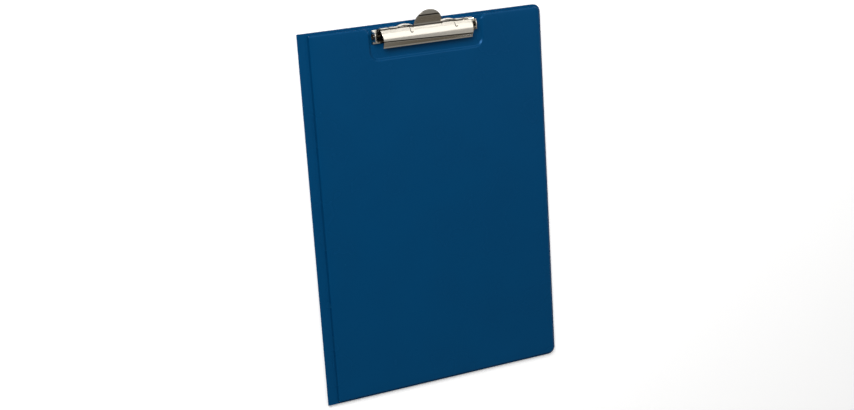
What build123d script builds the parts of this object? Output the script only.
from build123d import *
import math
import os

# Clipboard folder for A4 paper: a padded board with a lever clip, a soft spine and a padded cover
# that is folded right round behind the board. It lies flat with the clip side up: X runs to the
# board's right edge, Y to its clip end and Z up. The origin is under the centre of the whole
# outline, on the ground. All sizes are millimetres.

# Outline
board_width = 229.4
board_height = 340.0
spine_half_width = 8.0
corner_radius = 7.0

# Welded sheets and the cards inside them
skin_thickness = 0.35
lining_thickness = 0.35
board_core_thickness = 2.0
face_card_thickness = 1.3
cover_core_thickness = 1.8
pocket_thickness = 0.3
pocket_height = 232.0
pocket_inset = 2.6
pocket_corner_radius = 4.0
thumb_cut_radius = 14.0
weld_margin = 1.8
fold_margin = 1.0
shoulder_radius = 1.25
card_play = 0.25
weld_groove_depth = 0.12
weld_groove_width = 0.7
side_weld_inset = 1.3
end_weld_inset = 3.0

# Folds
fold_slit = 0.15
fold_gap = 0.3

# Recess that the clip sits in
recess_end_clearance = 3.0
recess_floor_depth = 29.4
recess_slope_run = 2.1
recess_floor_radius = 6.0
recess_mouth_radius = 6.0
recess_offset_x = 1.7

# Clip
clip_sheet = 0.8
pivot_inset = 9.5
pivot_height = 4.2
base_length = 101.2
base_offset_x = -0.7
base_front = 6.6
base_rear = 7.5
bend_radius = 1.1
bend_run = 1.3
front_flange_height = 1.8
rear_flange_height = 7.6
rear_flange_outer_x = 45.0
rear_flange_step_x = 27.6
rear_flange_inner_x = 14.2
rear_flange_bow = 1.4
rear_flange_corner = 1.0
notch_x = 36.4
notch_width = 1.2
notch_depth = 2.4
ear_rear = 5.2
ear_height = 8.4
ear_corner_radius = 4.4

# Hinge pin
pin_diameter = 4.0
pin_bore = 3.0
pin_flare_diameter = 5.6
pin_flare_thickness = 0.5
pin_fit = 0.05

# Jaw, as heights above the recess floor and distances behind the pin
jaw_length = 88.8
jaw_rear_y = 5.2
jaw_rear_z = 6.4
jaw_crown_y = -0.5
jaw_crown_z = 9.9
jaw_crown_radius = 12.0
jaw_nose_y = -5.8
jaw_nose_z = 9.8
jaw_nose_radius = 0.95
jaw_front_y = -11.0
jaw_front_z = 7.6
jaw_front_radius = 0.9
jaw_foot_radius = 1.1
jaw_foot_length = 1.9
jaw_floor_clearance = 0.3
lug_left_x = -14.2
lug_right_x = 29.4
lug_radius = 3.2
lug_width = 4.6
lance_offset = 1.4
lance_y = 1.6
lance_radius = 1.5
lance_width = 0.6
lance_hook = 0.5

# Thumb tab, a half disc
tab_radius = 13.6
tab_root_y = 5.4
tab_bend_y = 14.8
tab_bend_z = 10.6
tab_end_z = 11.7
tab_valley_radius = 1.5
tab_bend_radius = 3.0

# Spring
wire_diameter = 0.9
wire_sides = 8
coil_mean_radius = 2.75
coil_drop = 0.1
coil_pitch = 1.45
coil_turns = 4
coil_inner_x = 6.4
spring_leg_length = 5.6
spring_corner_radius = 1.4
spring_bar_y = 4.6
spring_release_angle = 25.0

# Rivets
rivet_spacing = 70.0
rivet_shank = 4.0
rivet_head = 7.0
rivet_head_height = 0.9
rivet_crown_radius = 0.6
rivet_flange = 8.0
rivet_play = 0.05

# Heights of the stack, from the ground up
pocket_z = 0.0
cover_lining_z = pocket_z + pocket_thickness
cover_core_z = cover_lining_z + lining_thickness
cover_skin_z = cover_core_z + cover_core_thickness
cover_back_z = cover_skin_z + skin_thickness
cover_flange_z = cover_skin_z - lining_thickness
board_back_z = cover_back_z + fold_gap
flange_z = board_back_z + skin_thickness
board_core_z = flange_z
face_card_z = board_core_z + board_core_thickness
face_card_top_z = face_card_z + face_card_thickness
panel_top_z = face_card_top_z + lining_thickness
recess_floor_z = face_card_z + lining_thickness

# Places in the plan
whole_width = spine_half_width + board_width - fold_slit
right_x = whole_width / 2
crease_x = right_x - board_width - spine_half_width
fold_x = crease_x + spine_half_width
sheet_left_x = fold_x + fold_slit
tab_reach = tab_root_y + tab_radius - pivot_inset
bottom_y = -(board_height + tab_reach) / 2
top_y = bottom_y + board_height
pivot_y = top_y - pivot_inset
pivot_z = recess_floor_z + pivot_height
base_top_z = recess_floor_z + clip_sheet
panel_inset = weld_margin
cavity_inset = weld_margin + lining_thickness
card_inset = cavity_inset + card_play
card_shoulder = shoulder_radius - lining_thickness
recess_floor_width = base_length + 2 * recess_end_clearance
tall = 40.0

os.makedirs("parts", exist_ok=True)


def sheet_outline(z, inset=0.0, fold_inset=0.0):
    """Rectangle between the fold line and the right edge, with its two right corners round."""
    left = sheet_left_x + fold_inset
    right = right_x - inset
    height = board_height - 2 * inset
    with BuildSketch(Plane.XY.offset(z)) as outline:
        with Locations(((left + right) / 2, bottom_y + board_height / 2)):
            Rectangle(right - left, height)
        fillet(outline.vertices().group_by(Axis.X)[-1], corner_radius - inset)
    return outline.sketch


def recess_cutter(floor_z):
    """Space of the clip's recess above a floor: a U open at the top edge, with sloping walls."""
    half = recess_floor_width / 2
    floor_y = top_y - recess_floor_depth
    mouth_y = top_y - weld_margin
    mouth = recess_mouth_radius + recess_slope_run
    slope = math.degrees(math.atan(recess_slope_run / face_card_thickness))
    left = recess_offset_x - half
    right = recess_offset_x + half
    corner = recess_floor_radius
    with BuildPart() as cutter:
        with BuildSketch(Plane.XY.offset(floor_z)):
            with BuildLine():
                Line((left - mouth, mouth_y + mouth), (left - mouth, mouth_y))
                RadiusArc((left - mouth, mouth_y), (left, mouth_y - mouth), mouth)
                Line((left, mouth_y - mouth), (left, floor_y + corner))
                RadiusArc((left, floor_y + corner), (left + corner, floor_y), -corner)
                Line((left + corner, floor_y), (right - corner, floor_y))
                RadiusArc((right - corner, floor_y), (right, floor_y + corner), -corner)
                Line((right, floor_y + corner), (right, mouth_y - mouth))
                RadiusArc((right, mouth_y - mouth), (right + mouth, mouth_y), mouth)
                Line((right + mouth, mouth_y), (right + mouth, mouth_y + mouth))
                Line((right + mouth, mouth_y + mouth), (left - mouth, mouth_y + mouth))
            make_face()
        extrude(amount=face_card_thickness, taper=-slope)
        extrude(cutter.faces().sort_by(Axis.Z)[-1], amount=shoulder_radius)
    return cutter.part


def padded_form(z, height, inset, fold_inset, shoulder):
    """Block with round upper edges, as the sheet or the card of the raised panel has."""
    with BuildPart() as form:
        extrude(sheet_outline(z, inset, fold_inset), amount=height)
        fillet(form.faces().sort_by(Axis.Z)[-1].edges(), shoulder)
    return form.part


def rivet_locations(z):
    """The two rivet places, side by side under the hinge pin."""
    half = rivet_spacing / 2
    return Locations((-half, pivot_y, z), (half, pivot_y, z))


# Board: a skin at the back, two cards and a lining, welded together all round
with BuildPart() as board_outer_skin:
    extrude(sheet_outline(board_back_z), amount=skin_thickness)
    with rivet_locations(board_back_z):
        Cylinder(
            rivet_flange / 2 + rivet_play,
            skin_thickness,
            align=(Align.CENTER, Align.CENTER, Align.MIN),
            mode=Mode.SUBTRACT,
        )
board_outer_skin.part.label = "board_outer_skin"
export_step(board_outer_skin.part, "parts/board_outer_skin.step")

with BuildPart() as board_core:
    extrude(
        sheet_outline(board_core_z, card_inset, fold_margin + lining_thickness + card_play),
        amount=board_core_thickness,
    )
    with rivet_locations(board_core_z):
        Cylinder(
            rivet_shank / 2 + rivet_play,
            board_core_thickness,
            align=(Align.CENTER, Align.CENTER, Align.MIN),
            mode=Mode.SUBTRACT,
        )
board_core.part.label = "board_core"
export_step(board_core.part, "parts/board_core.step")

with BuildPart() as board_face_card:
    add(
        padded_form(
            face_card_z,
            face_card_thickness,
            card_inset,
            fold_margin + lining_thickness + card_play,
            card_shoulder,
        )
    )
    add(recess_cutter(face_card_z), mode=Mode.SUBTRACT)
board_face_card.part.label = "board_face_card"
export_step(board_face_card.part, "parts/board_face_card.step")

with BuildPart() as lining_cavity:
    add(
        padded_form(
            flange_z,
            board_core_thickness + face_card_thickness,
            cavity_inset,
            fold_margin + lining_thickness,
            card_shoulder,
        )
    )
    add(recess_cutter(face_card_z), mode=Mode.SUBTRACT)

with BuildPart() as board_lining:
    add(
        padded_form(
            flange_z,
            panel_top_z - flange_z,
            panel_inset,
            fold_margin,
            shoulder_radius,
        )
    )
    extrude(sheet_outline(flange_z), amount=lining_thickness)
    add(recess_cutter(recess_floor_z), mode=Mode.SUBTRACT)
    add(lining_cavity.part, mode=Mode.SUBTRACT)
    with rivet_locations(face_card_z):
        Cylinder(
            rivet_shank / 2 + rivet_play,
            lining_thickness,
            align=(Align.CENTER, Align.CENTER, Align.MIN),
            mode=Mode.SUBTRACT,
        )
board_lining.part.label = "board_lining"
export_step(board_lining.part, "parts/board_lining.step")


# Spine: two layers, folded in the middle, so the near half lies over the far half
def spine_strip(z, thickness):
    """One layer of half the spine, between the crease and the fold beside a card."""
    left = crease_x + fold_slit
    right = fold_x - fold_slit
    with BuildSketch(Plane.XY.offset(z)) as outline:
        with Locations(((left + right) / 2, bottom_y + board_height / 2)):
            Rectangle(right - left, board_height)
    with BuildPart() as strip:
        extrude(outline.sketch, amount=thickness)
    return strip.part


def weld_grooves(z):
    """Two grooves that the welding bar leaves: one along the fold and one across the top end."""
    side_x = fold_x - side_weld_inset
    across_left = crease_x + fold_slit
    with BuildSketch(Plane.XY.offset(z)) as grooves:
        with Locations((side_x, bottom_y + board_height / 2)):
            Rectangle(weld_groove_width, board_height)
        with Locations(((across_left + side_x) / 2, top_y - end_weld_inset)):
            Rectangle(side_x - across_left, weld_groove_width)
    return grooves.sketch


near_lining_top_z = flange_z + lining_thickness
with BuildPart() as spine_near_outer:
    add(spine_strip(board_back_z, skin_thickness))
spine_near_outer.part.label = "spine_near_outer"
export_step(spine_near_outer.part, "parts/spine_near_outer.step")

with BuildPart() as spine_near_lining:
    add(spine_strip(flange_z, lining_thickness))
    extrude(weld_grooves(near_lining_top_z), amount=-weld_groove_depth, mode=Mode.SUBTRACT)
spine_near_lining.part.label = "spine_near_lining"
export_step(spine_near_lining.part, "parts/spine_near_lining.step")

with BuildPart() as spine_far_outer:
    add(spine_strip(cover_skin_z, skin_thickness))
spine_far_outer.part.label = "spine_far_outer"
export_step(spine_far_outer.part, "parts/spine_far_outer.step")

with BuildPart() as spine_far_lining:
    add(spine_strip(cover_flange_z, lining_thickness))
    extrude(weld_grooves(cover_flange_z), amount=weld_groove_depth, mode=Mode.SUBTRACT)
spine_far_lining.part.label = "spine_far_lining"
export_step(spine_far_lining.part, "parts/spine_far_lining.step")

# Cover: the same skin and lining round one card, with its inner side down, and a paper pocket
with BuildPart() as cover_outer_skin:
    extrude(sheet_outline(cover_skin_z), amount=skin_thickness)
cover_outer_skin.part.label = "cover_outer_skin"
export_step(cover_outer_skin.part, "parts/cover_outer_skin.step")

with BuildPart() as cover_core:
    extrude(
        sheet_outline(cover_core_z, card_inset, fold_margin + lining_thickness + card_play),
        amount=cover_core_thickness,
    )
    fillet(cover_core.faces().sort_by(Axis.Z)[0].edges(), card_shoulder)
cover_core.part.label = "cover_core"
export_step(cover_core.part, "parts/cover_core.step")

with BuildPart() as cover_cavity:
    extrude(
        sheet_outline(cover_core_z, cavity_inset, fold_margin + lining_thickness),
        amount=cover_core_thickness,
    )
    fillet(cover_cavity.faces().sort_by(Axis.Z)[0].edges(), card_shoulder)

with BuildPart() as cover_lining:
    extrude(
        sheet_outline(cover_lining_z, panel_inset, fold_margin),
        amount=cover_skin_z - cover_lining_z,
    )
    fillet(cover_lining.faces().sort_by(Axis.Z)[0].edges(), shoulder_radius)
    extrude(sheet_outline(cover_flange_z), amount=lining_thickness)
    add(cover_cavity.part, mode=Mode.SUBTRACT)
cover_lining.part.label = "cover_lining"
export_step(cover_lining.part, "parts/cover_lining.step")

pocket_left_x = sheet_left_x + fold_margin + pocket_inset
pocket_right_x = right_x - weld_margin - pocket_inset
pocket_bottom_y = bottom_y + weld_margin + pocket_inset
pocket_top_y = pocket_bottom_y + pocket_height
pocket_centre_x = (pocket_left_x + pocket_right_x) / 2
with BuildPart() as cover_pocket:
    with BuildSketch(Plane.XY.offset(pocket_z)) as pocket_outline:
        with Locations((pocket_centre_x, pocket_bottom_y + pocket_height / 2)):
            Rectangle(pocket_right_x - pocket_left_x, pocket_height)
        fillet(pocket_outline.vertices().group_by(Axis.Y)[0], pocket_corner_radius)
        with Locations((pocket_centre_x, pocket_top_y)):
            Circle(thumb_cut_radius, mode=Mode.SUBTRACT)
    extrude(amount=pocket_thickness)
cover_pocket.part.label = "cover_pocket"
export_step(cover_pocket.part, "parts/cover_pocket.step")

# Clip base: one bent sheet with a floor, two ears, a low front flange and a notched rear flange
base_left_x = base_offset_x - base_length / 2
base_right_x = base_offset_x + base_length / 2
clip_front_y = pivot_y - base_front
clip_rear_y = pivot_y + base_rear
ear_centre_y = pivot_y + (ear_rear - base_front) / 2
ear_width = base_front + ear_rear


def base_floor():
    """Floor of the base, turned up in a low flange along its front edge."""
    with BuildPart() as floor:
        with BuildSketch(Plane.YZ.offset(base_left_x + bend_run)):
            with BuildLine():
                FilletPolyline(
                    (clip_front_y, recess_floor_z + front_flange_height),
                    (clip_front_y, recess_floor_z),
                    (clip_rear_y - bend_run, recess_floor_z),
                    radius=bend_radius,
                )
                offset(amount=clip_sheet, side=Side.LEFT)
            make_face()
        extrude(amount=base_length - 2 * bend_run)
    return floor.part


def base_ears():
    """The two ears, turned up at the ends of the floor, round at their tops, with the pin's holes."""
    with BuildPart() as ears:
        for end_x, inward in ((base_left_x, Side.RIGHT), (base_right_x, Side.LEFT)):
            towards_middle = math.copysign(2 * bend_run, base_offset_x - end_x)
            with BuildSketch(Plane.XZ.offset(-pivot_y - ear_rear)):
                with BuildLine():
                    FilletPolyline(
                        (end_x + towards_middle, recess_floor_z),
                        (end_x, recess_floor_z),
                        (end_x, recess_floor_z + ear_height),
                        radius=bend_radius,
                    )
                    offset(amount=clip_sheet, side=inward)
                make_face()
            extrude(amount=ear_width)
        with BuildSketch(Plane.YZ.offset(base_left_x)) as outline:
            with Locations((ear_centre_y, recess_floor_z + ear_height / 2)):
                Rectangle(ear_width, ear_height)
            fillet(outline.vertices().group_by(Axis.Y)[-1], ear_corner_radius)
            with Locations((pivot_y, pivot_z)):
                Circle(pin_diameter / 2 + pin_fit, mode=Mode.SUBTRACT)
        extrude(amount=base_length, mode=Mode.INTERSECT)
    return ears.part


def rear_flange(left, right):
    """One straight stretch of the rear flange, turned up from the floor, with round upper corners."""
    with BuildPart() as flange:
        with BuildSketch(Plane.YZ.offset(left)):
            with BuildLine():
                FilletPolyline(
                    (clip_rear_y - 2 * bend_run, recess_floor_z),
                    (clip_rear_y, recess_floor_z),
                    (clip_rear_y, recess_floor_z + rear_flange_height),
                    radius=bend_radius,
                )
                offset(amount=clip_sheet, side=Side.LEFT)
            make_face()
        extrude(amount=right - left)
        fillet(flange.edges().filter_by(Axis.Y).group_by(Axis.Z)[-1], rear_flange_corner)
    return flange.part


def bowed_flange(side):
    """The stretch of the rear flange beside the tab, bowed back, on the floor's tongue that carries it."""
    near_x = side * rear_flange_inner_x
    far_x = side * rear_flange_step_x
    middle_y = clip_rear_y - clip_sheet / 2
    floor_y = clip_rear_y - 2 * bend_run
    with BuildPart() as bow:
        with BuildSketch(Plane.XY.offset(recess_floor_z)):
            with BuildLine():
                ThreePointArc(
                    (near_x, middle_y), ((near_x + far_x) / 2, middle_y + rear_flange_bow), (far_x, middle_y)
                )
                Polyline((far_x, middle_y), (far_x, floor_y), (near_x, floor_y), (near_x, middle_y))
            make_face()
        extrude(amount=clip_sheet)
        with BuildSketch(Plane.XY.offset(recess_floor_z)):
            with BuildLine():
                ThreePointArc(
                    (near_x, middle_y), ((near_x + far_x) / 2, middle_y + rear_flange_bow), (far_x, middle_y)
                )
            trace(line_width=clip_sheet)
        extrude(amount=rear_flange_height)
    return bow.part


with BuildPart() as clip_base:
    add(base_floor())
    add(base_ears())
    add(rear_flange(-rear_flange_outer_x, -rear_flange_step_x))
    add(rear_flange(rear_flange_step_x, rear_flange_outer_x))
    add(bowed_flange(-1))
    add(bowed_flange(1))
    with BuildSketch(Plane.XZ.offset(-clip_rear_y - clip_sheet)):
        for cut_x in (-notch_x, -rear_flange_step_x, rear_flange_step_x, notch_x):
            with Locations((cut_x, recess_floor_z + rear_flange_height)):
                Rectangle(notch_width, 2 * notch_depth)
    extrude(amount=3 * clip_sheet, mode=Mode.SUBTRACT)
    with rivet_locations(recess_floor_z):
        Cylinder(
            rivet_shank / 2 + rivet_play,
            clip_sheet,
            align=(Align.CENTER, Align.CENTER, Align.MIN),
            mode=Mode.SUBTRACT,
        )
clip_base.part.label = "clip_base"
export_step(clip_base.part, "parts/clip_base.step")

# Hinge pin: a tube through both ears, flared over at its two ends
pin_left_x = base_left_x - pin_flare_thickness
pin_length = base_length + 2 * pin_flare_thickness
with BuildPart() as clip_pin:
    with BuildSketch(Plane.YZ.offset(pin_left_x)):
        with Locations((pivot_y, pivot_z)):
            Circle(pin_diameter / 2)
    extrude(amount=pin_length)
    for flare_x in (pin_left_x, base_right_x):
        with BuildSketch(Plane.YZ.offset(flare_x)):
            with Locations((pivot_y, pivot_z)):
                Circle(pin_flare_diameter / 2)
        extrude(amount=pin_flare_thickness)
    with BuildSketch(Plane.YZ.offset(pin_left_x)):
        with Locations((pivot_y, pivot_z)):
            Circle(pin_bore / 2)
    extrude(amount=pin_length, mode=Mode.SUBTRACT)
clip_pin.part.label = "clip_pin"
export_step(clip_pin.part, "parts/clip_pin.step")

# Rivets: a crowned head on the base's floor and a thin flange let into the board's skin
with BuildPart() as clip_rivets:
    with BuildSketch(Plane.XZ.offset(-pivot_y)) as rivet_profile:
        for rivet_x in (-rivet_spacing / 2, rivet_spacing / 2):
            head_z = base_top_z + rivet_head_height
            with BuildLine():
                Polyline(
                    (rivet_x, board_back_z),
                    (rivet_x + rivet_flange / 2, board_back_z),
                    (rivet_x + rivet_flange / 2, flange_z),
                    (rivet_x + rivet_shank / 2, flange_z),
                    (rivet_x + rivet_shank / 2, base_top_z),
                    (rivet_x + rivet_head / 2, base_top_z),
                    (rivet_x + rivet_head / 2 - rivet_crown_radius, head_z),
                    (rivet_x, head_z),
                    close=True,
                )
            make_face()
    left_profile, right_profile = rivet_profile.sketch.faces().sort_by(Axis.X)
    revolve(left_profile, axis=Axis((-rivet_spacing / 2, pivot_y, 0), (0, 0, 1)))
    revolve(right_profile, axis=Axis((rivet_spacing / 2, pivot_y, 0), (0, 0, 1)))
clip_rivets.part.label = "clip_rivets"
export_step(clip_rivets.part, "parts/clip_rivets.step")


# Spring: two coils about the pin, joined by a bar under the thumb tab, with a leg at each side
def biarc(start, start_way, end, end_way):
    """Two arcs that leave start along start_way and reach end along end_way."""
    chord = end - start
    ways = start_way + end_way
    spread = 2 * (1 - start_way.dot(end_way))
    along = chord.dot(ways)
    handle = (math.sqrt(along * along + spread * chord.dot(chord)) - along) / spread
    start_handle = start + start_way * handle
    end_handle = end - end_way * handle
    middle = (start_handle + end_handle) / 2
    TangentArc(start, middle, tangent=start_way)
    TangentArc(middle, end, tangent=(end_handle - start_handle).normalized())


def coil_point(turn, from_x, side):
    """Place and direction on a coil; turn 0 is at its foot, and side is the way that it climbs."""
    angle = -2 * math.pi * turn - math.pi / 2
    climb = side * coil_pitch / (2 * math.pi)
    place = Vector(
        from_x + side * coil_pitch * turn,
        pivot_y + coil_mean_radius * math.cos(angle),
        pivot_z - coil_drop + coil_mean_radius * math.sin(angle),
    )
    way = Vector(
        climb,
        coil_mean_radius * math.sin(angle),
        -coil_mean_radius * math.cos(angle),
    )
    return place, way.normalized()


half_turns = 2 * coil_turns + 1
release_turn = half_turns / 2 + spring_release_angle / 360
coil_outer_x = coil_inner_x + coil_pitch * release_turn


def half_spring(side):
    """Leg, coil and half of the bar, on one side of the tab; returns the bar's inner end."""
    leg_x = side * coil_outer_x
    foot, foot_way = coil_point(0, leg_x, -side)
    Line(foot - foot_way * spring_leg_length, foot)
    turns = [step / 2 for step in range(half_turns)] + [release_turn]
    for first, second in zip(turns[:-1], turns[1:]):
        start, start_way = coil_point(first, leg_x, -side)
        end, end_way = coil_point(second, leg_x, -side)
        biarc(start, start_way, end, end_way)
    leave, leave_way = coil_point(release_turn, leg_x, -side)
    drop_way = Vector(0, leave_way.Y, leave_way.Z).normalized()
    inward = Vector(-side, 0, 0)
    corner_y = pivot_y + spring_bar_y - drop_way.Y * spring_corner_radius
    corner = leave + leave_way * ((corner_y - leave.Y) / leave_way.Y)
    Line(leave, corner)
    bar_end = corner + (drop_way + inward) * spring_corner_radius
    biarc(corner, leave_way, bar_end, inward)
    return bar_end


with BuildPart() as clip_spring:
    with BuildLine() as spring_path:
        left_bar_end = half_spring(-1)
        right_bar_end = half_spring(1)
        Line(left_bar_end, right_bar_end)
    left_leg_end, left_leg_way = coil_point(0, -coil_outer_x, 1)
    wire_start = left_leg_end - left_leg_way * spring_leg_length
    with BuildSketch(Plane(origin=wire_start, z_dir=left_leg_way)):
        RegularPolygon(wire_diameter / 2, wire_sides)
    sweep(path=spring_path.wires()[0], clean=False)
clip_spring.part.label = "clip_spring"
export_step(clip_spring.part, "parts/clip_spring.step")

turn_samples = 24
neighbour_gap = min(
    (coil_point(first / turn_samples, 0, 1)[0] - coil_point(second / turn_samples, 0, 1)[0]).length
    for first in range(turn_samples)
    for second in range(first + turn_samples // 2, first + 3 * turn_samples // 2)
)
print("spring least gap to itself", round(neighbour_gap - wire_diameter, 3))


# Jaw: one bent sheet with a crowned top, a front wall down to the paper, two lugs and a thumb tab
def jaw_at(y, z):
    """Point of the jaw's section, from its place behind the pin and above the recess floor."""
    return (pivot_y + y, recess_floor_z + z)


jaw_section_points = [
    jaw_at(jaw_rear_y, jaw_rear_z),
    jaw_at(jaw_crown_y, jaw_crown_z),
    jaw_at(jaw_nose_y, jaw_nose_z),
    jaw_at(jaw_front_y, jaw_front_z),
    jaw_at(jaw_front_y, jaw_floor_clearance),
    jaw_at(jaw_front_y + jaw_foot_length, jaw_floor_clearance),
]
jaw_section_radii = [jaw_crown_radius, jaw_nose_radius, jaw_front_radius, jaw_foot_radius]


def jaw_line():
    """Outer side of the jaw's sheet, from its rear edge to the foot that presses on the paper."""
    return FilletPolyline(*jaw_section_points, radius=jaw_section_radii)


with BuildPart() as thumb_tab:
    with BuildSketch(Plane.YZ.offset(-tab_radius)) as tab_profile:
        with BuildLine():
            rear_slope = (jaw_crown_z - jaw_rear_z) / (jaw_rear_y - jaw_crown_y)
            tab_start_y = jaw_rear_y - 2 * tab_valley_radius
            FilletPolyline(
                jaw_at(tab_start_y, jaw_rear_z + (jaw_rear_y - tab_start_y) * rear_slope),
                jaw_at(tab_root_y, jaw_rear_z + (jaw_rear_y - tab_root_y) * rear_slope),
                jaw_at(tab_bend_y, tab_bend_z),
                jaw_at(tab_root_y + tab_radius + clip_sheet, tab_end_z),
                radius=[tab_valley_radius, tab_bend_radius],
            )
            offset(amount=clip_sheet, side=Side.RIGHT)
        make_face()
    extrude(amount=2 * tab_radius)
    with BuildSketch(Plane.XY):
        with Locations((0, pivot_y + tab_root_y)):
            Circle(tab_radius)
            Rectangle(2 * tab_radius, tab_radius, align=(Align.CENTER, Align.MAX))
    extrude(amount=tall, mode=Mode.INTERSECT)


def lance_slot(x):
    """Slot beside a lug: in from the jaw's rear edge, then a quarter round and a short hook."""
    with BuildSketch(Plane.XY.offset(pivot_z + lug_radius)) as slot:
        with Locations((x, pivot_y + lance_y)):
            Circle(lance_radius)
            Circle(lance_radius - lance_width, mode=Mode.SUBTRACT)
            Rectangle(2 * lance_radius, lance_radius, align=(Align.CENTER, Align.MIN), mode=Mode.SUBTRACT)
        with Locations((x + lance_hook, pivot_y + lance_y)):
            Rectangle(lance_radius, 2 * lance_radius, align=(Align.MIN, Align.CENTER), mode=Mode.SUBTRACT)
        with Locations((x - lance_radius, pivot_y + lance_y)):
            Rectangle(lance_width, jaw_rear_y, align=(Align.MIN, Align.MIN))
    return slot.sketch


with BuildPart() as clip_jaw:
    with BuildSketch(Plane.YZ.offset(-jaw_length / 2)):
        with BuildLine():
            jaw_line()
            offset(amount=clip_sheet, side=Side.LEFT)
        make_face()
    extrude(amount=jaw_length)
    add(thumb_tab.part)
    for lug_x in (lug_left_x, lug_right_x):
        with BuildSketch(Plane.YZ.offset(lug_x - clip_sheet / 2)):
            with BuildLine():
                jaw_line()
                Line(jaw_section_points[-1], jaw_section_points[0])
            make_face()
            with Locations((pivot_y, pivot_z)):
                Rectangle(lug_width, tall, align=(Align.CENTER, Align.MIN), mode=Mode.INTERSECT)
                Circle(lug_radius)
                Circle(pin_diameter / 2 + pin_fit, mode=Mode.SUBTRACT)
        extrude(amount=clip_sheet)
        extrude(lance_slot(lug_x - lance_offset), amount=tall, mode=Mode.SUBTRACT)
clip_jaw.part.label = "clip_jaw"
export_step(clip_jaw.part, "parts/clip_jaw.step")
